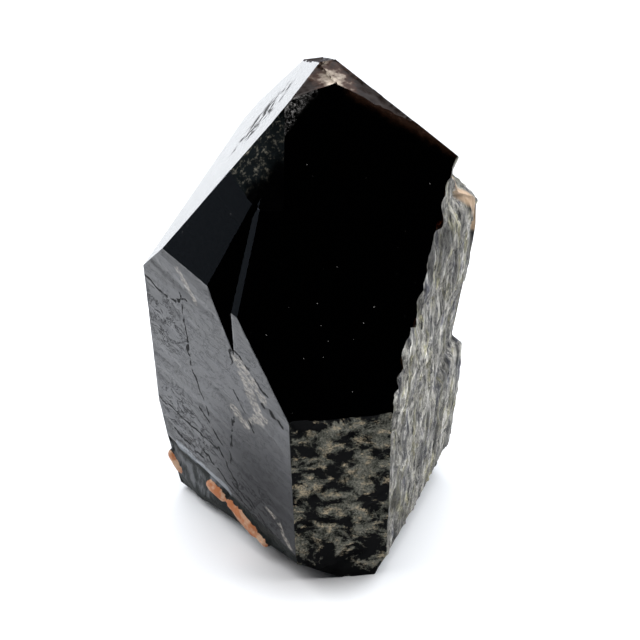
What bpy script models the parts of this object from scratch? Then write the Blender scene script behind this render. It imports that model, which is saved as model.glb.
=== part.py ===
# Morion quartz point: a black smoky quartz crystal with a narrower parallel crystal grown along its left side.
# The crystal is laid out on its own axes, with its long axis up and the front corner at zero, and is then
# leaned forward onto its broken base.
import math

import bmesh
import bpy
from mathutils import Matrix, Vector, noise

mm = 0.001

# A prism face stands along the long axis. A pyramid face leans in, and this is the angle between its normal
# and the long axis, the same on every quartz crystal.
pyramid_angle = math.radians(51.79)

# How the crystal stands: turned about its long axis, then leaned forward, with its front corner at this height.
turn = math.radians(8.56)
lean = math.radians(13.0)
lean_heading = math.radians(-96.6)
corner_height = 34.4 * mm

# How far each face of the main crystal lies from the front corner, along its normal.
front_reach = 0.0 * mm
left_reach = 0.0 * mm
right_reach = 13.3 * mm
right_taper = -1.5
back_right_reach = 46.9 * mm
back_right_taper = -6.0
back_reach = 70.5 * mm
front_pyramid_reach = 0.05 * mm
back_right_pyramid_reach = 45.8 * mm
back_pyramid_reach = 60.0 * mm
sliver_reach = 8.2 * mm
step_wall_reach = 11.15 * mm

# The parallel crystal on the left shares the left face, and its own front pyramid face is a step lower, which
# leaves a dark notch between the two. Its right limit lies inside the main crystal.
side_right_limit = -8.5 * mm
far_left_reach = 30.5 * mm
side_front_pyramid_reach = -7.2 * mm
side_left_pyramid_reach = 8.8 * mm
far_left_pyramid_reach = 29.36 * mm

# Sizes of the relief on the surfaces that aren't clean crystal faces.
foliation_depth = 1.1 * mm
flake_width = 2.4 * mm
flake_length = 11.0 * mm
flake_lean = 0.14
plate_edges = (19.5 * mm, 8.0 * mm, -6.0 * mm)
plate_drop = 0.8 * mm
plate_length = 9.0 * mm
hollow_depth = 1.9 * mm
hollow_floor = -16.5 * mm
hollow_top = 5.0 * mm
flank_step = 0.4 * mm
shoulder_bite_depth = 2.3 * mm
ledge_depth = 0.12 * mm
ledge_spacing = 2.2 * mm
level_waver = 1.2 * mm
front_pit_depth = 0.45 * mm
base_relief = 1.6 * mm
bruise_depth = 0.5 * mm
feldspar_height = 0.9 * mm

block_size = 0.4
same_place = 1e-7
weld_distance = 0.05 * mm
same_direction = 0.9995


def heading_normal(heading, elevation=0.0):
    flat = math.radians(heading)
    rise = math.radians(elevation)
    return Vector((math.cos(rise) * math.cos(flat), math.cos(rise) * math.sin(flat), math.sin(rise)))


def prism_normal(heading):
    return heading_normal(heading)


def pyramid_normal(heading):
    return heading_normal(heading, 90.0 - math.degrees(pyramid_angle))


def in_mm(x, y, z):
    return Vector((x, y, z)) * mm


front = prism_normal(-90)
left = prism_normal(-150)
far_left = prism_normal(152.5)
step_wall = prism_normal(150)
back = prism_normal(90)
back_right = heading_normal(30, back_right_taper)
right = heading_normal(-30, right_taper)
side_limit = prism_normal(-30)
front_pyramid = heading_normal(-87.8, 38.0)
sliver = heading_normal(-152.5, 37.0)
side_front_pyramid = heading_normal(-98.9, 24.9)
left_pyramid = pyramid_normal(-150)
far_left_pyramid = heading_normal(150, 36.4)
back_pyramid = pyramid_normal(90)
back_right_pyramid = pyramid_normal(27.5)

main_faces = (
    (front, front_reach),
    (left, left_reach),
    (step_wall, step_wall_reach),
    (back, back_reach),
    (back_right, back_right_reach),
    (right, right_reach),
    (front_pyramid, front_pyramid_reach),
    (sliver, sliver_reach),
    (far_left_pyramid, far_left_pyramid_reach),
    (back_pyramid, back_pyramid_reach),
    (back_right_pyramid, back_right_pyramid_reach),
)

side_faces = (
    (left, left_reach),
    (far_left, far_left_reach),
    (back, back_reach),
    (back_right, back_right_reach),
    (side_limit, side_right_limit),
    (front_pyramid, front_pyramid_reach),
    (side_front_pyramid, side_front_pyramid_reach),
    (left_pyramid, side_left_pyramid_reach),
    (far_left_pyramid, far_left_pyramid_reach),
    (back_pyramid, back_pyramid_reach),
    (back_right_pyramid, back_right_pyramid_reach),
)

# Breaks, each a rough plane through a point: the shoulder over the right side, the chips at the tip and the
# worn ridge behind it.
shoulder = (in_mm(29.3, 22.9, 27.9), heading_normal(5, 21))
tip_chip = (in_mm(12.0, 32.1, 39.2), heading_normal(-96, 58))
tip_side = (in_mm(14.4, 29.4, 37.1), heading_normal(-30, 63.5))
worn_ridge = (in_mm(13.0, 44.7, 32.3), heading_normal(92, 57))

# The slopes of the broken base.
base_breaks = (
    (in_mm(16.2, -1.0, -26.5), heading_normal(-33.4, -20.6)),
    (in_mm(0.0, 0.0, -31.2), heading_normal(-134.5, -48.0)),
    (in_mm(-9.3, 16.1, -29.0), heading_normal(-150, -2.5)),
    (in_mm(-17.8, 30.9, -25.0), heading_normal(153, -10)),
    (in_mm(-9.0, 48.0, -30.0), heading_normal(138, -38)),
    (in_mm(-4.0, 68.0, -20.0), heading_normal(98, -32)),
    (in_mm(31.0, 42.0, -22.0), heading_normal(40, -30)),
)
breaks = (shoulder, tip_chip, tip_side, worn_ridge) + base_breaks

# The bruised patch beside the notch, bounded by the planes that pass through these points and face out of it.
patch_surfaces = (front_pyramid, left_pyramid, step_wall, side_front_pyramid)
patch_edges = (
    (in_mm(3.9, 24.5, 31.0), heading_normal(-12, 0)),
    (in_mm(-2.1, 19.4, 24.6), heading_normal(-100, -48)),
    (in_mm(-2.6, 23.0, 26.0), heading_normal(-165, -20)),
)

# Streaks of feldspar: the two ends and the radius.
feldspar_streaks = (
    (in_mm(-16.9, 29.4, -33.2), in_mm(-16.0, 27.6, -35.0), 1.1 * mm),
    (in_mm(-11.2, 19.4, -31.4), in_mm(-9.0, 15.6, -31.4), 1.2 * mm),
    (in_mm(-8.0, 13.9, -32.0), in_mm(-5.6, 9.7, -33.4), 1.8 * mm),
    (in_mm(-5.6, 9.7, -33.4), in_mm(-3.9, 6.8, -33.2), 1.0 * mm),
)


def standing():
    # crystal axes to the ground: the turn, then the lean about a level axis
    axis = Vector((-math.sin(lean_heading), math.cos(lean_heading), 0.0))
    leaned = Matrix.Rotation(lean, 4, axis)
    return Matrix.Translation((0.0, 0.0, corner_height)) @ leaned @ Matrix.Rotation(turn, 4, "Z")


def cut(bm, point, normal):
    geometry = bm.verts[:] + bm.edges[:] + bm.faces[:]
    result = bmesh.ops.bisect_plane(bm, geom=geometry, dist=same_place, plane_co=point, plane_no=normal,
                                    clear_outer=True)
    rim = [item for item in result["geom_cut"] if isinstance(item, bmesh.types.BMEdge)]
    if rim:
        bmesh.ops.contextual_create(bm, geom=rim)


def crystal_block(name, faces):
    bm = bmesh.new()
    bmesh.ops.create_cube(bm, size=block_size)
    for normal, reach in faces:
        cut(bm, normal * reach, normal)
    for point, normal in breaks:
        cut(bm, point, normal)
    resting = standing().inverted()
    cut(bm, resting.translation, resting.to_3x3() @ Vector((0.0, 0.0, -1.0)))
    bmesh.ops.recalc_face_normals(bm, faces=bm.faces[:])
    mesh = bpy.data.meshes.new(name)
    bm.to_mesh(mesh)
    bm.free()
    return bpy.data.objects.new(name, mesh)


def join(body, other):
    # one body of two overlapping blocks
    union = body.modifiers.new("grown together", "BOOLEAN")
    union.operation = "UNION"
    union.object = other
    bpy.context.view_layer.update()
    evaluated = body.evaluated_get(bpy.context.evaluated_depsgraph_get())
    joined = bpy.data.meshes.new_from_object(evaluated)
    body.modifiers.clear()
    body.data = joined
    bpy.data.objects.remove(other, do_unlink=True)


def smooth_step(low, high, value):
    part = min(max((value - low) / (high - low), 0.0), 1.0)
    return part * part * (3.0 - 2.0 * part)


def lumps(place, size, detail=3):
    return noise.fractal(place / size, 1.0, 2.0, detail)


def foliation(place):
    # long thin flakes that run up the right side and lean back lower down
    leaning = place.z * flake_lean
    flake = Vector((place.x / flake_width, (place.y - leaning) / flake_width, place.z / flake_length))
    ridges = 1.6 * abs(noise.noise(flake)) + 0.6 * abs(noise.noise(flake * 2.3))
    height = -foliation_depth * (0.6 * ridges - 0.3 + 0.3 * lumps(place, 14 * mm))
    for edge in plate_edges:
        below = (edge + 2.5 * mm * noise.noise(place / (6 * mm)) - place.z) / plate_length
        if 0.0 < below < 1.0:
            height -= plate_drop * (1.0 - below)
    return height


def flank_hollow(place):
    # the far edge of the right side is broken inward, down to a short ledge
    far_edge = smooth_step(22 * mm, 33 * mm, place.x)
    under = smooth_step(hollow_floor - 2.5 * mm, hollow_floor, place.z)
    over = min(max((hollow_top - place.z) / (hollow_top - hollow_floor), 0.0), 1.0)
    return -far_edge * (hollow_depth * under + flank_step) * over


def shoulder_bite(place):
    # a shell-shaped bite under the top corner of the right side
    point, normal = shoulder
    below = (point - place).dot(normal)
    along = max(smooth_step(10.5 * mm, 16.5 * mm, place.z), smooth_step(33.8 * mm, 36.5 * mm, place.y))
    upper = smooth_step(28 * mm, 22 * mm, place.z)
    return -shoulder_bite_depth * upper * along * smooth_step(7 * mm, 0.0, abs(below))


def growth_steps(place):
    # low level ledges of a prism face
    level = place.z + level_waver * noise.noise(place / (16 * mm))
    ledge = smooth_step(0.1, 0.3, noise.noise(Vector((3.0, level / ledge_spacing, place.y / (22 * mm)))))
    return -ledge_depth * ledge


def front_pits(place):
    return -front_pit_depth * smooth_step(0.0, 0.35, lumps(place, 4.5 * mm))


def broken_base(place):
    return -base_relief * (0.15 + 0.4 * lumps(place, 9 * mm))


def broken_shoulder(place):
    return -base_relief * 0.3 * lumps(place, 6 * mm)


def unbroken(place):
    return 0.0


def bruise(place):
    return -bruise_depth * (0.9 + 0.8 * lumps(place, 3 * mm))


def feldspar(place):
    # streaks of feldspar on the lower left, highest along their middle
    height = 0.0
    for start, end, radius in feldspar_streaks:
        along = end - start
        reached = min(max((place - start).dot(along) / along.length_squared, 0.0), 1.0)
        height = max(height, 1.0 - ((place - start - along * reached).length / radius) ** 2)
    return feldspar_height * max(height, 0.0) ** 0.5


# Each surface that isn't a whole clean crystal face: its normal, the spacing of the points that carry its relief,
# and the relief itself.
rough_surfaces = (
    (front, 1.7 * mm, front_pits),
    (left, 2.1 * mm, growth_steps),
    (far_left, 3.2 * mm, growth_steps),
    (back, 3.2 * mm, growth_steps),
    (back_right, 3.2 * mm, growth_steps),
    (back_right_pyramid, 2.4 * mm, unbroken),
    (right, 1.7 * mm, foliation),
    (shoulder[1], 1.7 * mm, broken_shoulder),
    (tip_chip[1], 1.0 * mm, bruise),
    (tip_side[1], 1.0 * mm, bruise),
    (worn_ridge[1], 1.0 * mm, bruise),
) + tuple((normal, 2.4 * mm, broken_base) for point, normal in base_breaks)


patch = (side_front_pyramid, 1.2 * mm, bruise)


def matching_faces(bm, normal):
    return [face for face in bm.faces if face.normal.dot(normal) > same_direction]


def slice_surface(bm, layer, index, normal, spacing):
    # a grid of cuts across one surface
    across = normal.cross(Vector((0.0, 0.0, 1.0)))
    across.normalize()
    for direction in (across, normal.cross(across)):
        faces = [face for face in bm.faces if face[layer] == index]
        along = [vert.co.dot(direction) for face in faces for vert in face.verts]
        for step in range(math.floor(min(along) / spacing), math.ceil(max(along) / spacing) + 1):
            faces = [face for face in bm.faces if face[layer] == index]
            edges = {edge for face in faces for edge in face.edges}
            verts = {vert for face in faces for vert in face.verts}
            bmesh.ops.bisect_plane(bm, geom=list(verts) + list(edges) + faces, dist=1e-5,
                                   plane_co=direction * (step + 0.37) * spacing, plane_no=direction)


def split_off_patch(bm, layer, index):
    # the bruised patch beside the notch: the parts of the faces around it that lie within its edges
    for normal in patch_surfaces:
        for point, direction in patch_edges:
            faces = matching_faces(bm, normal)
            edges = {edge for face in faces for edge in face.edges}
            verts = {vert for face in faces for vert in face.verts}
            bmesh.ops.bisect_plane(bm, geom=list(verts) + list(edges) + faces, dist=1e-5,
                                   plane_co=point, plane_no=direction)
        for face in matching_faces(bm, normal):
            middle = face.calc_center_median()
            if all((middle - point).dot(direction) < 0.0 for point, direction in patch_edges):
                face[layer] = index


def raise_relief(bm, layer):
    # moves each point of a rough surface along its normal, less on a corner that two surfaces share, and keeps
    # it in every clean face that it borders
    shift = {}
    for vert in bm.verts:
        rough = {face[layer] for face in vert.link_faces if face[layer] > 0}
        clean = [face.normal.copy() for face in vert.link_faces if face[layer] == 0]
        if not rough:
            continue
        move = Vector((0.0, 0.0, 0.0))
        for index in rough:
            normal, spacing, relief = rough_surfaces[index - 1] if index <= len(rough_surfaces) else patch
            move += normal * relief(vert.co) / len(rough) ** 3
        move += heading_normal(0) * flank_hollow(vert.co) + shoulder[1] * shoulder_bite(vert.co)
        lump = feldspar(vert.co)
        if lump > 0.0:
            move = left * lump
        kept = []
        for normal in clean:
            for other in kept:
                normal = normal - other * normal.dot(other)
            if normal.length > 0.05:
                kept.append(normal.normalized())
        for normal in kept:
            move -= normal * move.dot(normal)
        if len(kept) < 3:
            shift[vert] = move
    for vert, move in shift.items():
        vert.co += move


def morion_material():
    material = bpy.data.materials.new("morion")
    material.use_nodes = True
    shader = material.node_tree.nodes["Principled BSDF"]
    shader.inputs["Base Color"].default_value = (0.03, 0.028, 0.027, 1.0)
    shader.inputs["Roughness"].default_value = 0.15
    shader.inputs["Metallic"].default_value = 0.0
    return material


def main():
    for old in list(bpy.data.objects):
        bpy.data.objects.remove(old, do_unlink=True)
    collection = bpy.data.collections.new("morion_quartz_point")
    bpy.context.scene.collection.children.link(collection)
    crystal = crystal_block("morion_crystal", main_faces)
    side = crystal_block("side_crystal", side_faces)
    collection.objects.link(crystal)
    collection.objects.link(side)
    join(crystal, side)

    bm = bmesh.new()
    bm.from_mesh(crystal.data)
    bmesh.ops.remove_doubles(bm, verts=bm.verts[:], dist=weld_distance)
    bmesh.ops.dissolve_degenerate(bm, dist=weld_distance, edges=bm.edges[:])
    bmesh.ops.dissolve_limit(bm, angle_limit=math.radians(0.5), verts=bm.verts[:], edges=bm.edges[:])
    layer = bm.faces.layers.int.new("surface")
    for index, (normal, spacing, relief) in enumerate(rough_surfaces, start=1):
        for face in matching_faces(bm, normal):
            face[layer] = index
    patch_index = len(rough_surfaces) + 1
    split_off_patch(bm, layer, patch_index)
    for index, (normal, spacing, relief) in enumerate(rough_surfaces + (patch,), start=1):
        slice_surface(bm, layer, index, normal, spacing)
    bmesh.ops.remove_doubles(bm, verts=bm.verts[:], dist=weld_distance)
    bmesh.ops.triangulate(bm, faces=bm.faces[:])
    raise_relief(bm, layer)
    bm.transform(standing())
    low = Vector([min(vert.co[axis] for vert in bm.verts) for axis in range(3)])
    high = Vector([max(vert.co[axis] for vert in bm.verts) for axis in range(3)])
    bottom_centre = Vector(((low.x + high.x) / 2, (low.y + high.y) / 2, low.z))
    bmesh.ops.translate(bm, vec=-bottom_centre, verts=bm.verts[:])
    bm.to_mesh(crystal.data)
    bm.free()
    crystal.data.materials.append(morion_material())


main()
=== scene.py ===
import math

import bmesh
import bpy
from mathutils import Matrix, Vector, noise


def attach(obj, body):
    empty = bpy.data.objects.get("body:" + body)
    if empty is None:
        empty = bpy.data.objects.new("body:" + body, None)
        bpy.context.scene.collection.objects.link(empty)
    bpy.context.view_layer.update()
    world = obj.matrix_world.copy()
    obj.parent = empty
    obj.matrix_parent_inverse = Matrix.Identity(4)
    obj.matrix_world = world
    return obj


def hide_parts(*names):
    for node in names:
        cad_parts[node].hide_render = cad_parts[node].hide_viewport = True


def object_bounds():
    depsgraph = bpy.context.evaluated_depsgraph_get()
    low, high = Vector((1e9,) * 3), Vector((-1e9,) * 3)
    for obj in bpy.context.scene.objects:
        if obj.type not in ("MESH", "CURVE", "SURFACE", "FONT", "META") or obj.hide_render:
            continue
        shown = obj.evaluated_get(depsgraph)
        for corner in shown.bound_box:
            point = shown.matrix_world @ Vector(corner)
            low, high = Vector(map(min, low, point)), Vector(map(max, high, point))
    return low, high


mm = 0.001
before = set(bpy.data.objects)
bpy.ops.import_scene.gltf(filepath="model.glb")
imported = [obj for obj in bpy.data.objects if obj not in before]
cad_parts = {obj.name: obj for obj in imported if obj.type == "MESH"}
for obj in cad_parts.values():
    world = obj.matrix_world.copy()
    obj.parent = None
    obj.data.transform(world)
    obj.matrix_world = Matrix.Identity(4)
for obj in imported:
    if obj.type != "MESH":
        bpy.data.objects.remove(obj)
cadBox = [list(corner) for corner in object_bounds()]

# How the crystal stands, in degrees: turned about its long axis, then leaned forward onto its base.
# Its front corner is where the front pyramid, front and left faces meet, and every place is from there.
stance = {
    "turn": 8.56,
    "lean": 13.0,
    "leanHeading": -96.6,
    "frontCorner": (22.798, 0.018, 34.4),  # mm from the low corner of the box
}

# Crystal faces: heading and rise of the normal in degrees, and reach from the front corner in mm.
crystalFaces = {
    "front": (-90, 0, 0.0),
    "left": (-150, 0, 0.0),
    "stepWall": (150, 0, 11.15),
    "farLeft": (152.5, 0, 30.5),
    "back": (90, 0, 70.5),
    "backRight": (30, -6, 46.9),
    "right": (-30, -1.5, 13.3),
    "sideLimit": (-30, 0, -8.5),
    "frontPyramid": (-87.8, 38.0, 0.05),
    "sliver": (-152.5, 37.0, 8.2),
    "leftPyramid": (-150, 38.21, 8.8),
    "notchPyramid": (-98.9, 24.9, -7.2),
    "farLeftPyramid": (150, 36.4, 29.36),
    "backPyramid": (90, 38.21, 60.0),
    "backRightPyramid": (27.5, 38.21, 45.8),
}
mainFaces = (
    "front", "left", "stepWall", "back", "backRight", "right",
    "frontPyramid", "sliver", "farLeftPyramid", "backPyramid", "backRightPyramid",
)
sideFaces = (
    "left", "farLeft", "back", "backRight", "sideLimit",
    "frontPyramid", "notchPyramid", "leftPyramid", "farLeftPyramid", "backPyramid", "backRightPyramid",
)

# Breaks: a point in mm, and the heading and rise of the broken plane.
breaks = {
    "shoulder": ((29.3, 22.9, 27.9), 5, 21),
    "tipChip": ((12.0, 32.1, 39.2), -96, 58),
    "tipSide": ((14.4, 29.4, 37.1), -30, 63.5),
    "wornRidge": ((13.0, 44.7, 32.3), 92, 57),
    "baseRight": ((16.2, -1.0, -26.5), -33.4, -20.6),
    "baseFront": ((0.0, 0.0, -31.2), -134.5, -48.0),
    "baseLeft": ((-9.3, 16.1, -29.0), -150, -2.5),
    "baseFarLeft": ((-17.8, 30.9, -25.0), 153, -10),
    "baseBackLeft": ((-9.0, 48.0, -30.0), 138, -38),
    "baseBack": ((-4.0, 68.0, -20.0), 98, -32),
    "baseBackRight": ((31.0, 42.0, -22.0), 40, -30),
}

relief = {
    "foliationDepth": 1.1,
    "flakeWidth": 2.4,
    "flakeLength": 11.0,
    "flakeLean": 0.14,
    "fibreDepth": 0.22,
    "fibreWidth": 0.5,
    "plateEdges": (19.5, 8.0, -6.0),
    "plateDrop": 0.8,
    "plateLength": 9.0,
    "hollowDepth": 1.9,
    "hollowFloor": -16.5,
    "hollowTop": 5.0,
    "flankStep": 0.4,
    "shoulderBite": 2.3,
    "ledgeDepth": 0.12,
    "ledgeSpacing": 2.2,
    "levelWaver": 1.2,
    "frontPitDepth": 0.45,
    "baseRelief": 1.6,
    "bruiseDepth": 0.5,
    "feldsparHeight": 0.9,
}

# The bruised patch beside the notch: planes through these points in mm, facing out of it.
patchSurfaces = ("frontPyramid", "leftPyramid", "stepWall", "notchPyramid")
patchEdges = (
    ((3.9, 24.5, 31.0), -12, 0),
    ((-2.1, 19.4, 24.6), -100, -48),
    ((-2.6, 23.0, 26.0), -165, -20),
)

# Streaks of feldspar: the two ends and the radius in mm.
feldsparStreaks = (
    ((-16.9, 29.4, -33.2), (-16.0, 27.6, -35.0), 1.1),
    ((-11.2, 19.4, -31.4), (-9.7, 16.8, -31.3), 1.3),
    ((-8.4, 14.6, -31.2), (-6.9, 12.0, -31.9), 1.1),
    ((-7.2, 12.5, -31.8), (-5.8, 10.1, -32.6), 1.9),
    ((-5.8, 10.1, -32.8), (-3.9, 6.8, -33.0), 0.8),
)


def facing(heading, rise=0.0):
    flat, up = math.radians(heading), math.radians(rise)
    return Vector((math.cos(up) * math.cos(flat), math.cos(up) * math.sin(flat), math.sin(up)))


def normalOf(name):
    if name in breaks:
        return facing(*breaks[name][1:])
    return facing(*crystalFaces[name][:2])


def inMm(place):
    return Vector(place) * mm


def standing():
    flat = math.radians(stance["leanHeading"])
    axis = Vector((-math.sin(flat), math.cos(flat), 0.0))
    leaned = Matrix.Rotation(math.radians(stance["lean"]), 4, axis)
    turned = Matrix.Rotation(math.radians(stance["turn"]), 4, "Z")
    corner = Vector(cadBox[0]) + inMm(stance["frontCorner"])
    return Matrix.Translation(corner) @ leaned @ turned


def cutOff(bm, point, normal):
    geometry = bm.verts[:] + bm.edges[:] + bm.faces[:]
    result = bmesh.ops.bisect_plane(
        bm, geom=geometry, dist=1e-7, plane_co=point, plane_no=normal, clear_outer=True)
    rim = [item for item in result["geom_cut"] if isinstance(item, bmesh.types.BMEdge)]
    if rim:
        bmesh.ops.contextual_create(bm, geom=rim)


def crystalBlock(name, faceNames):
    # one crystal, cut from a cube by its faces, its breaks and the ground it rests on
    bm = bmesh.new()
    bmesh.ops.create_cube(bm, size=400.0 * mm)
    for faceName in faceNames:
        normal = normalOf(faceName)
        cutOff(bm, normal * crystalFaces[faceName][2] * mm, normal)
    for breakName, (point, heading, rise) in breaks.items():
        cutOff(bm, inMm(point), facing(heading, rise))
    ground = standing().inverted()
    cutOff(bm, ground @ Vector((0.0, 0.0, 0.0)), ground.to_3x3() @ Vector((0.0, 0.0, -1.0)))
    bmesh.ops.recalc_face_normals(bm, faces=bm.faces[:])
    mesh = bpy.data.meshes.new(name)
    bm.to_mesh(mesh)
    bm.free()
    block = bpy.data.objects.new(name, mesh)
    bpy.context.scene.collection.objects.link(block)
    return block


def growTogether(body, other):
    union = body.modifiers.new("grown together", "BOOLEAN")
    union.operation = "UNION"
    union.object = other
    bpy.context.view_layer.update()
    evaluated = body.evaluated_get(bpy.context.evaluated_depsgraph_get())
    joined = bpy.data.meshes.new_from_object(evaluated)
    body.modifiers.clear()
    body.data = joined
    bpy.data.objects.remove(other, do_unlink=True)


def smoothStep(low, high, value):
    part = min(max((value - low) / (high - low), 0.0), 1.0)
    return part * part * (3.0 - 2.0 * part)


def lumps(place, size, detail=3):
    return noise.fractal(place / size, 1.0, 2.0, detail)


# The relief functions take a place in mm on the crystal's own axes and give a height in mm.
def foliation(place):
    leaning = place.z * relief["flakeLean"]
    width, length = relief["flakeWidth"], relief["flakeLength"]
    flake = Vector((place.x / width, (place.y - leaning) / width, place.z / length))
    ridges = 1.6 * abs(noise.noise(flake)) + 0.6 * abs(noise.noise(flake * 2.3))
    coarse = -relief["foliationDepth"] * (0.6 * ridges - 0.3 + 0.3 * lumps(place, 14))
    for edge in relief["plateEdges"]:
        below = (edge + 2.5 * noise.noise(place / 6) - place.z) / relief["plateLength"]
        if 0.0 < below < 1.0:
            coarse -= relief["plateDrop"] * (1.0 - below)
    fibre = Vector((place.x, place.y - leaning, place.z * 0.12)) / relief["fibreWidth"]
    fine = abs(noise.noise(fibre)) + 0.5 * abs(noise.noise(fibre * 0.43))
    return coarse - relief["fibreDepth"] * fine


def flankHollow(place):
    floor, top = relief["hollowFloor"], relief["hollowTop"]
    farEdge = smoothStep(22, 33, place.x)
    under = smoothStep(floor - 2.5, floor, place.z)
    over = min(max((top - place.z) / (top - floor), 0.0), 1.0)
    return -farEdge * (relief["hollowDepth"] * under + relief["flankStep"]) * over


def growthSteps(place):
    level = place.z + relief["levelWaver"] * noise.noise(place / 16)
    ledge = smoothStep(0.1, 0.3, noise.noise(Vector((3.0, level / relief["ledgeSpacing"], place.y / 22))))
    return -relief["ledgeDepth"] * ledge


def frontPits(place):
    return -relief["frontPitDepth"] * smoothStep(0.0, 0.35, lumps(place, 4.5))


def brokenBase(place):
    return -relief["baseRelief"] * (0.15 + 0.4 * lumps(place, 9)) - 0.12 * abs(lumps(place, 1.4))


def brokenShoulder(place):
    return -relief["baseRelief"] * 0.3 * lumps(place, 6) - 0.1 * abs(lumps(place, 1.2))


def shoulderBite(place):
    # a shell-shaped bite under the top corner of the right side
    below = (inMm(breaks["shoulder"][0]) / mm - place).dot(normalOf("shoulder"))
    along = max(smoothStep(10.5, 16.5, place.z), smoothStep(33.8, 36.5, place.y))
    upper = smoothStep(28, 22, place.z)
    return -relief["shoulderBite"] * upper * along * smoothStep(7, 0, abs(below))


def unbroken(place):
    return 0.0


def bruise(place):
    return -relief["bruiseDepth"] * (0.9 + 0.8 * lumps(place, 3)) - 0.08 * abs(lumps(place, 0.8))


def feldspar(place):
    # 1 along the middle of a streak, and 0 past its radius
    height = 0.0
    for start, end, radius in feldsparStreaks:
        start, along = Vector(start), Vector(end) - Vector(start)
        reached = min(max((place - start).dot(along) / along.length_squared, 0.0), 1.0)
        height = max(height, 1.0 - ((place - start - along * reached).length / radius) ** 2)
    return max(height, 0.0) ** 0.5


# Each surface with relief: spacing of its coarse points in mm, cuts between them, relief, and finish.
surfaces = {
    "front": (1.7, 4, frontPits, "frontQuartz"),
    "left": (2.1, 4, growthSteps, "leftQuartz"),
    "farLeft": (3.2, 4, growthSteps, "leftQuartz"),
    "back": (3.2, 4, growthSteps, "leftQuartz"),
    "backRight": (3.2, 4, growthSteps, "leftQuartz"),
    "backRightPyramid": (2.4, 3, unbroken, "clearQuartz"),
    "right": (1.7, 4, foliation, "foliatedQuartz"),
    "shoulder": (2.0, 4, brokenShoulder, "foliatedQuartz"),
    "tipChip": (1.0, 3, bruise, "chippedTip"),
    "tipSide": (1.0, 3, bruise, "chippedTip"),
    "wornRidge": (1.0, 3, bruise, "chippedTip"),
    **{name: (2.4, 4, brokenBase, "brokenQuartz") for name in breaks if name.startswith("base")},
    "patch": (1.2, 4, bruise, "bruisedQuartz"),
}
finishes = (
    "clearQuartz",
    "leftQuartz",
    "frontQuartz",
    "foliatedQuartz",
    "brokenQuartz",
    "bruisedQuartz",
    "chippedTip",
)
surfaceNames = list(surfaces)


def surfaceNormal(name):
    # the bruised patch lies over several faces, and counts as facing the way the notch does
    return normalOf("notchPyramid" if name == "patch" else name)


def facesAlong(bm, normal):
    return [face for face in bm.faces if face.normal.dot(normal) > 0.9995]


def sliceFaces(bm, faces, point, normal):
    edges = {edge for face in faces for edge in face.edges}
    verts = {vert for face in faces for vert in face.verts}
    geometry = list(verts) + list(edges) + faces
    bmesh.ops.bisect_plane(bm, geom=geometry, dist=1e-5, plane_co=point, plane_no=normal)


def sliceSurface(bm, layer, index, normal, spacing):
    across = normal.cross(Vector((0.0, 0.0, 1.0))).normalized()
    for direction in (across, normal.cross(across)):
        along = [vert.co.dot(direction) for face in bm.faces if face[layer] == index for vert in face.verts]
        if not along:
            return
        for step in range(math.floor(min(along) / spacing), math.ceil(max(along) / spacing) + 1):
            faces = [face for face in bm.faces if face[layer] == index]
            sliceFaces(bm, faces, direction * (step + 0.37) * spacing, direction)


def markPatch(bm, layer, index):
    edges = [(inMm(point), facing(heading, rise)) for point, heading, rise in patchEdges]
    for name in patchSurfaces:
        normal = normalOf(name)
        for point, direction in edges:
            sliceFaces(bm, facesAlong(bm, normal), point, direction)
        for face in facesAlong(bm, normal):
            middle = face.calc_center_median()
            if all((middle - point).dot(direction) < 0.0 for point, direction in edges):
                face[layer] = index


def raiseRelief(bm, layer):
    # moves each point of a rough surface, less where two surfaces meet, and keeps it in clean faces
    shift = {}
    for vert in bm.verts:
        rough = {face[layer] for face in vert.link_faces if face[layer] > 0}
        clean = [face.normal.copy() for face in vert.link_faces if face[layer] == 0]
        if not rough:
            continue
        place = vert.co / mm
        move = Vector((0.0, 0.0, 0.0))
        for index in rough:
            name = surfaceNames[index - 1]
            move += surfaceNormal(name) * surfaces[name][2](place) / len(rough) ** 3
        move += facing(0) * flankHollow(place) + normalOf("shoulder") * shoulderBite(place)
        lump = feldspar(place)
        if lump > 0.0:
            move = normalOf("left") * lump * relief["feldsparHeight"]
        kept = []
        for normal in clean:
            for other in kept:
                normal = normal - other * normal.dot(other)
            if normal.length > 0.05:
                kept.append(normal.normalized())
        for normal in kept:
            move -= normal * move.dot(normal)
        if len(kept) < 3:
            shift[vert] = move * mm
    for vert, move in shift.items():
        vert.co += move


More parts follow.
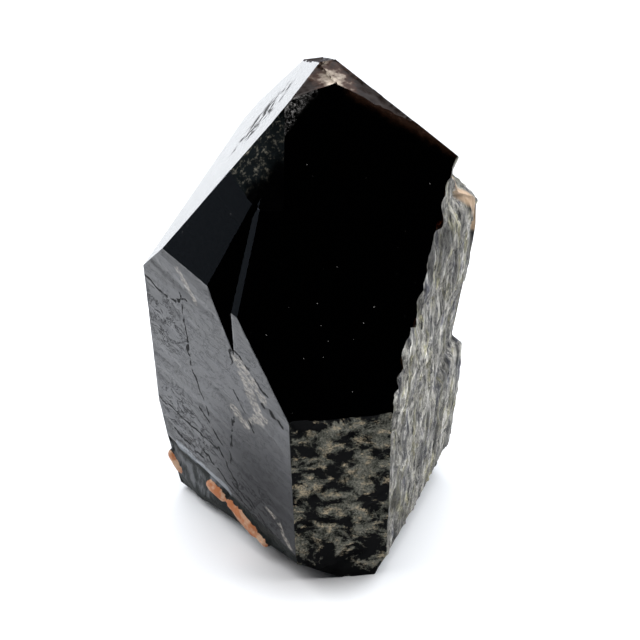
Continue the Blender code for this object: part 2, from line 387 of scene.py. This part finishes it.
def morionCrystal():
    crystal = crystalBlock("morionCrystal", mainFaces)
    growTogether(crystal, crystalBlock("sideCrystal", sideFaces))
    bm = bmesh.new()
    bm.from_mesh(crystal.data)
    bmesh.ops.remove_doubles(bm, verts=bm.verts[:], dist=0.05 * mm)
    bmesh.ops.dissolve_degenerate(bm, dist=0.05 * mm, edges=bm.edges[:])
    bmesh.ops.dissolve_limit(bm, angle_limit=math.radians(0.5), verts=bm.verts[:], edges=bm.edges[:])
    layer = bm.faces.layers.int.new("surface")
    for index, name in enumerate(surfaceNames, start=1):
        if name != "patch":
            for face in facesAlong(bm, normalOf(name)):
                face[layer] = index
    markPatch(bm, layer, surfaceNames.index("patch") + 1)
    for index, name in enumerate(surfaceNames, start=1):
        sliceSurface(bm, layer, index, surfaceNormal(name), surfaces[name][0] * mm)
    bmesh.ops.remove_doubles(bm, verts=bm.verts[:], dist=0.05 * mm)
    bmesh.ops.triangulate(bm, faces=bm.faces[:])
    for index, name in enumerate(surfaceNames, start=1):
        edges = {edge for face in bm.faces if face[layer] == index for edge in face.edges}
        edges = [edge for edge in edges if edge.calc_length() > 0.5 * mm]
        cuts = surfaces[name][1] - 1
        bmesh.ops.subdivide_edges(bm, edges=edges, cuts=cuts, use_grid_fill=True)
    bmesh.ops.triangulate(bm, faces=bm.faces[:])
    mark = bm.verts.layers.float.new("feldspar")
    for vert in bm.verts:
        vert[mark] = feldspar(vert.co / mm)
    raiseRelief(bm, layer)
    bm.transform(standing())
    for face in bm.faces:
        index = face[layer]
        face.material_index = finishes.index(surfaces[surfaceNames[index - 1]][3]) if index else 0
        face.smooth = face.material_index > 0
    bm.to_mesh(crystal.data)
    print("crystal mesh:", len(bm.faces), "triangles")
    bm.free()
    return crystal


# Finishes. Every pattern lies on the crystal's own axes, in mm, with the long axis as Z.
class Finish:
    def __init__(self, name):
        self.material = bpy.data.materials.new(name)
        self.material.use_nodes = True
        self.nodes = self.material.node_tree.nodes
        self.links = self.material.node_tree.links
        self.shader = self.nodes["Principled BSDF"]
        self.output = self.nodes["Material Output"]
        self.shader.inputs["IOR"].default_value = 1.54
        coordinates = self.nodes.new("ShaderNodeTexCoord")
        onCrystal = self.nodes.new("ShaderNodeMapping")
        unturned = standing().inverted()
        onCrystal.inputs["Location"].default_value = unturned.translation / mm
        onCrystal.inputs["Rotation"].default_value = unturned.to_euler()
        onCrystal.inputs["Scale"].default_value = (1 / mm, 1 / mm, 1 / mm)
        self.links.new(coordinates.outputs["Object"], onCrystal.inputs["Vector"])
        self.place = onCrystal.outputs["Vector"]

    def feed(self, value, socket):
        if isinstance(value, (int, float)):
            socket.default_value = value
        elif isinstance(value, (tuple, Vector)):
            socket.default_value = (*value, 1.0) if len(value) == 3 and socket.type == "RGBA" else value
        else:
            self.links.new(value, socket)

    def math(self, operation, first, second=0.0, clamp=False):
        node = self.nodes.new("ShaderNodeMath")
        node.operation = operation
        node.use_clamp = clamp
        self.feed(first, node.inputs[0])
        self.feed(second, node.inputs[1])
        return node.outputs[0]

    def vectorMath(self, operation, first, second):
        node = self.nodes.new("ShaderNodeVectorMath")
        node.operation = operation
        self.feed(first, node.inputs[0])
        self.feed(second, node.inputs[1])
        return node

    def stretched(self, stretch, place=None):
        node = self.nodes.new("ShaderNodeMapping")
        node.inputs["Scale"].default_value = stretch
        self.links.new(place or self.place, node.inputs["Vector"])
        return node.outputs["Vector"]

    def turned(self, angles, place=None):
        node = self.nodes.new("ShaderNodeMapping")
        node.inputs["Rotation"].default_value = [math.radians(angle) for angle in angles]
        self.links.new(place or self.place, node.inputs["Vector"])
        return node.outputs["Vector"]

    def noise(self, scale, stretch=(1.0, 1.0, 1.0), detail=4.0, roughness=0.55, distortion=0.0, place=None):
        node = self.nodes.new("ShaderNodeTexNoise")
        self.links.new(self.stretched(stretch, place), node.inputs["Vector"])
        node.inputs["Scale"].default_value = scale
        node.inputs["Detail"].default_value = detail
        node.inputs["Roughness"].default_value = roughness
        node.inputs["Distortion"].default_value = distortion
        return node.outputs["Fac"]

    def ramp(self, value, stops):
        node = self.nodes.new("ShaderNodeValToRGB")
        elements = node.color_ramp.elements
        while len(elements) < len(stops):
            elements.new(0.5)
        for element, (position, colour) in zip(elements, stops):
            element.position = position
            element.color = (*colour, 1.0) if isinstance(colour, tuple) else (colour, colour, colour, 1.0)
        self.links.new(value, node.inputs["Fac"])
        return node.outputs["Color"]

    def mix(self, amount, first, second, blend="MIX"):
        node = self.nodes.new("ShaderNodeMix")
        node.data_type = "RGBA"
        node.blend_type = blend
        self.feed(amount, node.inputs["Factor"])
        # inputs 6 and 7 and output 2 are this node's colours
        self.feed(first, node.inputs[6])
        self.feed(second, node.inputs[7])
        return node.outputs[2]

    def near(self, centre, radius, edge):
        # 1 around a place in mm, fading to 0 from one edge inside the radius to one edge outside it
        away = self.vectorMath("DISTANCE", self.place, centre)
        return self.falling(away.outputs["Value"], radius - edge, radius + edge)

    def wobbled(self, scale, amount, place=None):
        # the place pushed about by noise, up to half the amount in mm
        node = self.nodes.new("ShaderNodeTexNoise")
        self.links.new(place or self.place, node.inputs["Vector"])
        node.inputs["Scale"].default_value = scale
        node.inputs["Detail"].default_value = 3.0
        pushed = self.vectorMath("MULTIPLY_ADD", node.outputs["Color"], (amount, amount, amount))
        self.links.new(place or self.place, pushed.inputs[2])
        middle = (amount / 2, amount / 2, amount / 2)
        return self.vectorMath("SUBTRACT", pushed.outputs["Vector"], middle).outputs["Vector"]

    def streak(self, start, end, width, edge, place=None):
        # 1 along a line between two places in mm, and 0 past its width and edge
        start = Vector(start)
        along = Vector(end) - start
        reached = self.vectorMath("SUBTRACT", place or self.place, start).outputs["Vector"]
        share = self.vectorMath("DOT_PRODUCT", reached, along / along.length_squared)
        kept = self.math("ADD", share.outputs["Value"], 0.0, clamp=True)
        closest = self.nodes.new("ShaderNodeVectorMath")
        closest.operation = "SCALE"
        closest.inputs[0].default_value = along
        self.links.new(kept, closest.inputs["Scale"])
        away = self.vectorMath("DISTANCE", reached, closest.outputs["Vector"])
        return self.falling(away.outputs["Value"], width / 2, width / 2 + edge)

    def falling(self, value, low, high):
        # 1 below the low value, and 0 above the high one
        spread = self.nodes.new("ShaderNodeMapRange")
        spread.interpolation_type = "SMOOTHSTEP"
        self.links.new(value, spread.inputs["Value"])
        spread.inputs["From Min"].default_value = low
        spread.inputs["From Max"].default_value = high
        spread.inputs["To Min"].default_value = 1.0
        spread.inputs["To Max"].default_value = 0.0
        return spread.outputs["Result"]

    def strongest(self, amounts):
        # the largest of several amounts
        result = 0.0
        for amount in amounts:
            result = self.math("MAXIMUM", result, amount)
        return result

    def onFace(self, name):
        # 1 on one crystal face, and 0 off its plane
        reach = self.vectorMath("DOT_PRODUCT", self.place, normalOf(name))
        under = self.math("SUBTRACT", crystalFaces[name][2], reach.outputs["Value"])
        return self.falling(self.math("ABSOLUTE", under), 0.05, 0.15)

    def marked(self, name):
        node = self.nodes.new("ShaderNodeAttribute")
        node.attribute_name = name
        return node.outputs["Fac"]

    def bump(self, height, strength, distance):
        node = self.nodes.new("ShaderNodeBump")
        node.inputs["Strength"].default_value = strength
        node.inputs["Distance"].default_value = distance * mm
        self.links.new(height, node.inputs["Height"])
        self.links.new(node.outputs["Normal"], self.shader.inputs["Normal"])

    def look(self, colour, roughness, specular=0.5):
        self.feed(colour, self.shader.inputs["Base Color"])
        self.feed(roughness, self.shader.inputs["Roughness"])
        self.shader.inputs["Specular IOR Level"].default_value = specular


# The crystal's finishes, each below its own values. Lines and spots are in mm from the front corner.
def onLeft(back, up):
    # a place on the left face: mm back from the front edge, and mm up
    return Vector((-back * math.tan(math.radians(30)), back, up))


clear = {
    "tint": (0.95, 0.9, 0.86),
    "roughness": 0.03,
    "depthColour": (0.66, 0.33, 0.12),  # what is left of light in the black quartz, so thin edges are brown
    "density": 900.0,
    "dust": (0.1, 0.095, 0.09),
    "mark": (0.03, 0.028, 0.026),
    # the brown of a painted glow along the thin top right edge
    "brown": (0.04, 0.017, 0.009),
    "markedSpot": (3.2, 45.0, 22.5),
    "bruisedEdge": ((2.6, 27.0, 33.0), (8.6, 30.6, 38.0)),
    "paintedGlowEdge": ((15.0, 29.4, 36.8), (29.4, 23.4, 28.2)),
}


def clearQuartz():
    # black quartz that lets brown light through at its thin edges, with a painted brown glow along its top
    # right edge, a little dust and some dull marks
    finish = Finish("clearQuartz")
    specks = finish.ramp(finish.noise(2.9, detail=0), ((0.885, 0.0), (0.9, 1.0)))
    blots = finish.noise(0.6, (1.0, 0.5, 1.0), detail=4, roughness=0.6)
    marks = finish.ramp(blots, ((0.5, 0.0), (0.54, 1.0)))
    marks = finish.math("MULTIPLY", marks, finish.near(clear["markedSpot"], 6.5, 3.0))
    smear = finish.noise(0.35, (1.0, 0.4, 1.0), detail=6, roughness=0.7)
    smear = finish.ramp(smear, ((0.5, 0.0), (0.75, 0.1)))
    marks = finish.math("MULTIPLY", finish.math("MAXIMUM", marks, smear), finish.onFace("farLeftPyramid"))
    wavy = finish.wobbled(0.9, 1.6)
    bruise = finish.streak(*clear["bruisedEdge"], 1.2, 1.6, wavy)
    crumbs = finish.ramp(finish.noise(1.8, detail=8, roughness=0.8), ((0.5, 0.0), (0.66, 0.8)))
    bruise = finish.math("MULTIPLY", bruise, crumbs)
    # painted glow: a brown streak painted along the thin top right edge, standing in for light shining
    # through it
    thin = finish.streak(*clear["paintedGlowEdge"], 0.1, 1.8, wavy)
    thin = finish.math("MULTIPLY", finish.math("POWER", thin, 1.6), 0.5)
    dull = finish.math("MAXIMUM", finish.math("MULTIPLY", specks, 0.3), bruise)
    tint = finish.mix(dull, clear["tint"], clear["dust"])
    tint = finish.mix(finish.falling(marks, 0.0, 0.002), clear["mark"], tint)
    tint = finish.mix(finish.falling(thin, 0.0, 0.002), clear["brown"], tint)
    dull = finish.strongest((dull, thin, marks))
    rough = finish.math("ADD", finish.math("MULTIPLY", dull, 0.5), finish.math("MULTIPLY", marks, 0.45))
    finish.look(tint, finish.math("ADD", rough, clear["roughness"]))
    finish.feed(finish.math("SUBTRACT", 1.0, dull), finish.shader.inputs["Transmission Weight"])
    finish.bump(finish.noise(0.35, (1.0, 1.0, 2.5), detail=3), 0.06, 0.06)
    inside = finish.nodes.new("ShaderNodeVolumeAbsorption")
    inside.inputs["Color"].default_value = (*clear["depthColour"], 1.0)
    inside.inputs["Density"].default_value = clear["density"]
    finish.links.new(inside.outputs["Volume"], finish.output.inputs["Volume"])
    return finish.material


broken = {
    "green": (0.005, 0.007, 0.0065),
    "grey": (0.02, 0.023, 0.022),
    "paleGrey": (0.13, 0.135, 0.14),
    # the colour of a painted highlight along the left face's broken foot
    "shine": (0.24, 0.26, 0.28),
    "orange": (0.42, 0.15, 0.06),
    "rind": (0.55, 0.36, 0.24),
    # from and to: mm back from the front edge along the left face, and mm up
    "shinyLine": ((27.0, -29.0), (15.5, -29.0)),
    "chamferLine": ((29.5, -33.5), (22.5, -34.0)),
}


def feldsparOver(finish, colour):
    # orange feldspar with a paler rind, where the mesh is marked with it
    ragged = finish.math("MULTIPLY", finish.noise(0.7, detail=6, roughness=0.6), 0.9)
    reach = finish.math("ADD", finish.marked("feldspar"), ragged)
    mask = finish.ramp(reach, ((0.78, 0.0), (0.84, 1.0)))
    rind = finish.ramp(finish.noise(0.6, detail=6), ((0.43, broken["orange"]), (0.62, broken["rind"])))
    return finish.mix(mask, colour, rind)


def paintedShineOver(finish, colour):
    # a painted highlight: a pale band painted along the edge between the left face and its broken foot
    wavy = finish.wobbled(0.3, 2.0)
    start, end = broken["shinyLine"]
    shine = finish.streak(onLeft(*start), onLeft(*end), 1.3, 0.5, wavy)
    return finish.mix(finish.math("MULTIPLY", shine, 0.8), colour, broken["shine"])


def brokenQuartz():
    # the broken base: green-black, with a banded paler chamfer on the left and feldspar beside it
    finish = Finish("brokenQuartz")
    rough = finish.noise(0.7, detail=7, roughness=0.65)
    colour = finish.ramp(rough, ((0.42, broken["green"]), (0.66, broken["grey"])))
    wavy = finish.wobbled(0.4, 2.4)
    start, end = broken["chamferLine"]
    chamfer = finish.streak(onLeft(*start), onLeft(*end), 4.4, 1.2, wavy)
    bands = finish.noise(0.45, (1.7, 1.7, 0.5), detail=6, roughness=0.6)
    chamfer = finish.math("MULTIPLY", chamfer, finish.ramp(bands, ((0.42, 0.1), (0.58, 1.0))))
    colour = finish.mix(chamfer, colour, broken["paleGrey"])
    colour = paintedShineOver(finish, colour)
    colour = feldsparOver(finish, colour)
    finish.look(colour, finish.ramp(rough, ((0.3, 0.45), (0.7, 0.7))), 0.12)
    finish.bump(rough, 0.8, 0.5)
    return finish.material


satin = {
    "quartz": (0.012, 0.012, 0.014),
    "haze": (0.05, 0.05, 0.056),
    "cream": (0.3, 0.27, 0.23),
    "crack": (0.002, 0.002, 0.002),
    "specular": 0.42,
    "sutureWidth": 0.34,
    # places on the left face: mm back from its front edge, and mm up
    "hatchedSpots": (  # place, radius and soft edge
        ((27.5, -1.0), 5.5, 3.0),
        ((8.0, -28.0), 7.0, 4.0),
        ((24.0, -22.0), 7.0, 4.0),
    ),
    "sutures": (
        ((22.6, 8.0), (22.2, -3.4)),
        ((22.2, -3.4), (21.4, -7.1)),
        ((21.4, -7.1), (18.4, -14.3)),
        ((31.5, 5.0), (26.0, 4.3)),
        ((26.0, 4.3), (21.2, 7.2)),
        ((12.5, -8.5), (14.2, -21.1)),
        ((33.0, -21.0), (16.5, -20.5)),
        ((16.5, -20.5), (12.3, -26.3)),
        ((13.9, -25.4), (1.8, -31.0)),
        ((6.2, -0.5), (0.5, -2.1)),
        ((21.4, -13.6), (15.4, -19.0)),
        ((11.8, 5.3), (12.0, 1.7)),
        ((12.0, -3.4), (7.6, -8.6)),
        ((20.5, -24.5), (9.5, -29.0)),
        ((10.8, -25.6), (4.4, -29.4)),
        ((29.0, -26.0), (20.0, -26.4)),
        ((11.2, 5.6), (4.6, 1.9)),
    ),
    "creamLedges": (  # from, to and width
        ((10.6, 3.9), (5.6, 0.6), 1.7),
        ((9.4, 1.4), (6.6, -3.6), 1.8),
        ((12.2, -7.6), (9.2, -8.8), 1.1),
        ((8.6, -7.0), (4.9, -3.8), 0.9),
        ((6.0, -23.9), (4.6, -24.6), 0.5),
        ((3.4, -25.6), (1.4, -28.2), 0.6),
        ((22.6, 12.4), (19.4, 8.8), 1.0),
    ),
}


def leftQuartz():
    # satin faces with fine growth lines, dark wavy sutures and a few cream ledges
    finish = Finish("leftQuartz")
    wavy = finish.wobbled(1.3, 0.35)
    wavy = finish.wobbled(0.45, 2.2, wavy)
    lines = finish.noise(1.0, (0.1, 0.1, 4.0), detail=5, roughness=0.6, distortion=0.3)
    cloud = finish.noise(0.22, (1.0, 1.0, 1.6), detail=7, roughness=0.62)
    colour = finish.ramp(cloud, ((0.36, satin["quartz"]), (0.66, satin["haze"])))
    # painted shade: the colour darkens to plain quartz around the lower front of the face
    colour = finish.mix(finish.near(onLeft(6.0, -22.0), 12.0, 10.0), colour, satin["quartz"])
    crack = finish.strongest(
        finish.streak(onLeft(*start), onLeft(*end), satin["sutureWidth"], 0.12, wavy)
        for start, end in satin["sutures"])
    hatch = finish.noise(0.42, (0.8, 0.8, 1.6), detail=6, roughness=0.66, distortion=0.6)
    hatched = finish.strongest(
        finish.near(onLeft(*place), radius, edge)
        for place, radius, edge in satin["hatchedSpots"])
    hatched = finish.math("MAXIMUM", hatched, 0.2)
    thin = finish.ramp(hatch, ((0.45, 0.0), (0.475, 1.0), (0.5, 0.0)))
    crack = finish.math("MAXIMUM", crack, finish.math("MULTIPLY", thin, hatched))
    ledge = finish.strongest(
        finish.streak(onLeft(*start), onLeft(*end), width, 0.5, wavy)
        for start, end, width in satin["creamLedges"])
    crumbs = finish.noise(1.3, (0.8, 0.8, 1.8), detail=8, roughness=0.8)
    crumbs = finish.ramp(crumbs, ((0.44, 0.0), (0.56, 1.0)))
    colour = finish.mix(finish.math("MULTIPLY", ledge, crumbs), colour, satin["cream"])
    colour = paintedShineOver(finish, colour)
    colour = finish.mix(crack, colour, satin["crack"])
    colour = feldsparOver(finish, colour)
    rough = finish.ramp(cloud, ((0.3, 0.3), (0.7, 0.42)))
    foot = finish.math("MULTIPLY", finish.near(onLeft(5.0, -22.0), 12.0, 9.0), 0.4)
    rough = finish.math("ADD", finish.math("ADD", rough, foot), finish.math("MULTIPLY", crack, 0.65))
    finish.look(colour, rough, satin["specular"])
    height = finish.math("SUBTRACT", finish.math("MULTIPLY", lines, 0.25), crack)
    height = finish.math("ADD", height, finish.math("MULTIPLY", cloud, 0.8))
    finish.bump(height, 0.6, 0.2)
    return finish.material


crust = {
    "olive": (0.06, 0.062, 0.05),
    "grey": (0.24, 0.23, 0.19),
    "tan": (0.5, 0.4, 0.26),
    "black": (0.002, 0.0022, 0.0025),
    "darkFoot": (6.0, 0.0, -34.5),
    "darkTop": ((0.0, 0.0, 0.0), (6.5, 0.0, 0.0)),
}


def frontQuartz():
    # a crust of olive-grey grains with tan ones among them, broken off in patches down to black quartz
    finish = Finish("frontQuartz")
    grain = finish.noise(2.8, detail=7, roughness=0.85)
    drift = finish.turned((0.0, -24.0, 0.0))
    patches = finish.noise(0.26, (0.9, 1.0, 1.15), detail=9, roughness=0.68, distortion=0.35, place=drift)
    # more of the crust turns to black quartz towards the foot and along the top edge of the face
    darker = finish.math("MULTIPLY", finish.near(crust["darkFoot"], 5.5, 4.5), 0.14)
    top = finish.streak(*crust["darkTop"], 2.0, 3.0)
    darker = finish.math("ADD", darker, finish.math("MULTIPLY", top, 0.09))
    kept = finish.math("SUBTRACT", finish.math("ADD", patches, finish.math("MULTIPLY", grain, 0.1)), darker)
    mask = finish.ramp(kept, ((0.515, 0.0), (0.56, 1.0)))
    tone = finish.math("ADD", finish.math("MULTIPLY", grain, 0.6), finish.math("MULTIPLY", patches, 0.45))
    mottled = finish.ramp(tone, ((0.47, crust["black"]), (0.53, crust["olive"]), (0.63, crust["grey"])))
    spots = finish.noise(0.5, (0.9, 1.0, 1.2), detail=7, roughness=0.66, place=drift)
    spots = finish.ramp(spots, ((0.53, 0.0), (0.62, 1.0)))
    spots = finish.math("MULTIPLY", spots, finish.ramp(grain, ((0.42, 0.0), (0.6, 1.0))))
    mottled = finish.mix(spots, mottled, crust["tan"])
    colour = finish.mix(mask, crust["black"], mottled)
    finish.look(colour, finish.ramp(grain, ((0.3, 0.5), (0.7, 0.8))), 0.03)
    finish.bump(finish.math("MULTIPLY", finish.math("ADD", grain, 0.6), mask), 0.7, 0.2)
    return finish.material


foliated = {
    "grey": (0.31, 0.305, 0.285),
    "pale": (1.0, 0.99, 0.94),
    "warm": (1.0, 0.97, 0.92),
    "olive": (0.78, 0.74, 0.52),
    "violet": (0.26, 0.26, 0.32),
    "gap": (0.02, 0.019, 0.018),
    "cream": (0.6, 0.42, 0.27),
    "palestSpot": (24.0, 8.0, -1.0),
    "creamEdge": ((29.6, 25.0, 25.0), (35.5, 33.5, 9.5)),
}


def foliatedQuartz():
    # thin leaning flakes in greys, olive and violet, with dark gaps, and a cream edge at the shoulder
    finish = Finish("foliatedQuartz")
    leaning = finish.turned((8.0, 0.0, 0.0))
    leaning = finish.wobbled(0.3, 1.5, leaning)
    crossed = finish.turned((14.0, 0.0, 40.0), leaning)
    fine = finish.noise(0.8, (1.8, 1.8, 0.8), detail=10, roughness=0.86, place=leaning)
    broad = finish.noise(0.3, (1.5, 1.5, 0.45), detail=8, roughness=0.66, place=leaning)
    other = finish.noise(0.5, (1.4, 1.4, 0.4), detail=6, roughness=0.62, place=crossed)
    colour = finish.ramp(fine, (
        (0.4, foliated["gap"]),
        (0.47, foliated["grey"]),
        (0.53, foliated["grey"]),
        (0.64, foliated["pale"]),
    ))
    light = finish.ramp(other, ((0.48, 0.0), (0.62, 0.65)))
    colour = finish.mix(light, colour, foliated["pale"])
    broad = finish.math("ADD", broad, finish.math("MULTIPLY", finish.math("SUBTRACT", fine, 0.5), 0.25))
    tone = finish.ramp(broad, (
        (0.38, foliated["violet"]),
        (0.46, foliated["warm"]),
        (0.53, foliated["warm"]),
        (0.6, foliated["olive"]),
    ))
    colour = finish.mix(1.0, colour, tone, "MULTIPLY")
    middle = finish.ramp(finish.near(foliated["palestSpot"], 12.0, 10.0), ((0.0, 0.72), (1.0, 1.0)))
    colour = finish.mix(1.0, colour, middle, "MULTIPLY")
    bands = finish.noise(0.2, (1.5, 1.5, 0.5), detail=7, roughness=0.66, distortion=0.6, place=crossed)
    bands = finish.ramp(bands, ((0.4, 0.3), (0.5, 0.8), (0.62, 1.3)))
    colour = finish.mix(1.0, colour, bands, "MULTIPLY")
    gaps = finish.noise(0.55, (2.4, 2.4, 0.6), detail=9, roughness=0.78, place=crossed)
    gaps = finish.ramp(gaps, ((0.41, 0.05), (0.48, 1.0)))
    colour = finish.mix(1.0, colour, gaps, "MULTIPLY")
    cream = finish.streak(*foliated["creamEdge"], 1.4, 0.9, leaning)
    colour = finish.mix(finish.math("MULTIPLY", cream, 0.8), colour, foliated["cream"])
    finish.look(colour, 0.6, 0.25)
    finish.bump(fine, 0.6, 0.3)
    return finish.material


bruised = {
    "green": (0.0065, 0.0085, 0.009),
    "tan": (0.13, 0.12, 0.095),
    "cream": (0.62, 0.53, 0.43),
    "brown": (0.045, 0.021, 0.013),
    "deepBrown": (0.013, 0.007, 0.005),
    "shadow": (0.0006, 0.0006, 0.0007),
    "patchLine": ((-2.6, 25.5, 28.0), (2.6, 26.3, 33.2)),
    "tipSpot": (12.8, 30.6, 39.6),
}


def bruisedQuartz():
    # the crushed patch beside the notch: green-black with tan grains, fading to black around it
    finish = Finish("bruisedQuartz")
    grain = finish.noise(1.2, detail=8, roughness=0.75)
    colour = finish.ramp(grain, (
        (0.53, bruised["green"]),
        (0.64, bruised["tan"]),
        (0.77, bruised["cream"]),
    ))
    wavy = finish.wobbled(0.6, 4.0)
    inner = finish.streak(*bruised["patchLine"], 4.0, 3.4, wavy)
    colour = finish.mix(finish.math("POWER", inner, 1.5), bruised["shadow"], colour)
    finish.look(colour, 0.5, 0.0)
    finish.bump(grain, 0.8, 0.3)
    return finish.material


def chippedTip():
    # shell-shaped chips at the tip: a cream bruise fading into brown quartz
    finish = Finish("chippedTip")
    grain = finish.noise(0.7, (0.7, 1.0, 1.4), detail=6, roughness=0.55)
    bruise = finish.near(bruised["tipSpot"], 3.4, 2.4)
    amount = finish.math("ADD", finish.math("MULTIPLY", bruise, 0.34), finish.math("MULTIPLY", grain, 0.7))
    colour = finish.ramp(amount, (
        (0.42, bruised["deepBrown"]),
        (0.54, bruised["brown"]),
        (0.74, bruised["cream"]),
    ))
    finish.look(colour, 0.4, 0.12)
    finish.bump(grain, 0.5, 0.25)
    return finish.material


crystal = morionCrystal()
for makeFinish in (
    clearQuartz,
    leftQuartz,
    frontQuartz,
    foliatedQuartz,
    brokenQuartz,
    bruisedQuartz,
    chippedTip,
):
    crystal.data.materials.append(makeFinish())
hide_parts("morion_crystal")
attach(crystal, "root")
print("crystal done")


# Camera, floor and lights.
view = {
    "fromCorner": (4.541, -228.744, 144.240),  # mm from the crystal's front corner
    "tilt": 60.975,
    "lens": 104.34,
}
paper = {
    # the paper is whiter around the crystal as a painted pool of light, and darker at the front foot as a
    # painted shadow
    "paintedLightWhite": (0.97, 0.97, 0.97),
    "grey": (0.61, 0.61, 0.61),
    # the colour and reach of a painted shadow at the crystal's front foot
    "paintedShadowColour": (0.74, 0.72, 0.71),
    "paintedLightRadius": 95.0,
    "foot": (-2.0, -25.0, 0.0),  # mm on the ground
    "paintedShadowRadius": 7.0,
}
roomLight = {
    "colour": (0.7, 0.82, 1.0),
    "front": 0.004,
    "back": 0.6,
    "backdrop": (0.95, 0.95, 0.95),
}


def addCamera():
    data = bpy.data.cameras.new("camera")
    data.sensor_width = 36.0
    data.lens = view["lens"]
    data.clip_start = 0.01
    data.clip_end = 20.0
    camera = bpy.data.objects.new("camera", data)
    corner = Vector(cadBox[0]) + inMm(stance["frontCorner"])
    camera.location = corner + inMm(view["fromCorner"])
    camera.rotation_euler = (math.radians(view["tilt"]), 0.0, 0.0)
    bpy.context.scene.collection.objects.link(camera)
    bpy.context.scene.camera = camera


def floorPaper():
    # paper with a painted pool of light, whitest around the crystal and greyer far off, and a painted
    # shadow at the crystal's front foot
    finish = Finish("floorPaper")
    onGround = standing().inverted()
    # painted pool of light: the paper is whiter around the crystal and greyer further off
    under = finish.near(onGround.translation / mm, paper["paintedLightRadius"], 50.0)
    colour = finish.mix(under, paper["grey"], paper["paintedLightWhite"])
    # painted shadow: the paper is darkened around the crystal's front foot
    foot = finish.near(onGround @ inMm(paper["foot"]) / mm, paper["paintedShadowRadius"], paper["paintedShadowRadius"])
    colour = finish.mix(foot, colour, paper["paintedShadowColour"])
    finish.look(colour, 0.9)
    return finish.material


def addFloor():
    # it ends a little in front of the crystal, so the notch reflects only the dark room there
    bm = bmesh.new()
    away = Matrix.Translation((0.0, 2.8, 0.0))
    bmesh.ops.create_grid(bm, x_segments=1, y_segments=1, size=3.0, matrix=away)
    mesh = bpy.data.meshes.new("floor")
    bm.to_mesh(mesh)
    bm.free()
    floor = bpy.data.objects.new("floor", mesh)
    bpy.context.scene.collection.objects.link(floor)
    floor.data.materials.append(floorPaper())


def addLight(name, place, target, size, power, colour):
    data = bpy.data.lights.new(name, "AREA")
    data.shape = "RECTANGLE"
    data.size, data.size_y = size
    data.energy = power
    data.color = colour
    light = bpy.data.objects.new(name, data)
    light.location = place
    light.rotation_euler = (Vector(target) - Vector(place)).to_track_quat("-Z", "Y").to_euler()
    bpy.context.scene.collection.objects.link(light)


def room():
    # dark in front of the crystal and lighter behind it, with a pale backdrop for the camera
    world = bpy.data.worlds.new("room")
    world.use_nodes = True
    nodes, links = world.node_tree.nodes, world.node_tree.links
    coordinates = nodes.new("ShaderNodeTexCoord")
    split = nodes.new("ShaderNodeSeparateXYZ")
    depth = nodes.new("ShaderNodeMapRange")
    depth.interpolation_type = "SMOOTHSTEP"
    depth.inputs["From Min"].default_value = -0.35
    depth.inputs["From Max"].default_value = 0.6
    depth.inputs["To Min"].default_value = roomLight["front"]
    depth.inputs["To Max"].default_value = roomLight["back"]
    links.new(coordinates.outputs["Generated"], split.inputs["Vector"])
    links.new(split.outputs["Y"], depth.inputs["Value"])
    background = nodes["Background"]
    background.inputs["Color"].default_value = (*roomLight["colour"], 1.0)
    links.new(depth.outputs["Result"], background.inputs["Strength"])
    backdrop = nodes.new("ShaderNodeBackground")
    backdrop.inputs["Color"].default_value = (*roomLight["backdrop"], 1.0)
    rays = nodes.new("ShaderNodeLightPath")
    choice = nodes.new("ShaderNodeMixShader")
    links.new(rays.outputs["Is Camera Ray"], choice.inputs["Fac"])
    links.new(background.outputs["Background"], choice.inputs[1])
    links.new(backdrop.outputs["Background"], choice.inputs[2])
    links.new(choice.outputs["Shader"], nodes["World Output"].inputs["Surface"])
    bpy.context.scene.world = world


lights = {  # place, target, size in m, power in W, and colour
    "overhead": ((-0.1, 0.22, 0.9), (-0.1, 0.22, 0.0), (3.0, 1.3), 44.0, (0.968, 0.98, 1.0)),
}
addCamera()
addFloor()
for name, values in lights.items():
    addLight(name, *values)
room()
print("camera, floor and light done")
bpy.context.scene.view_settings.view_transform = "Standard"
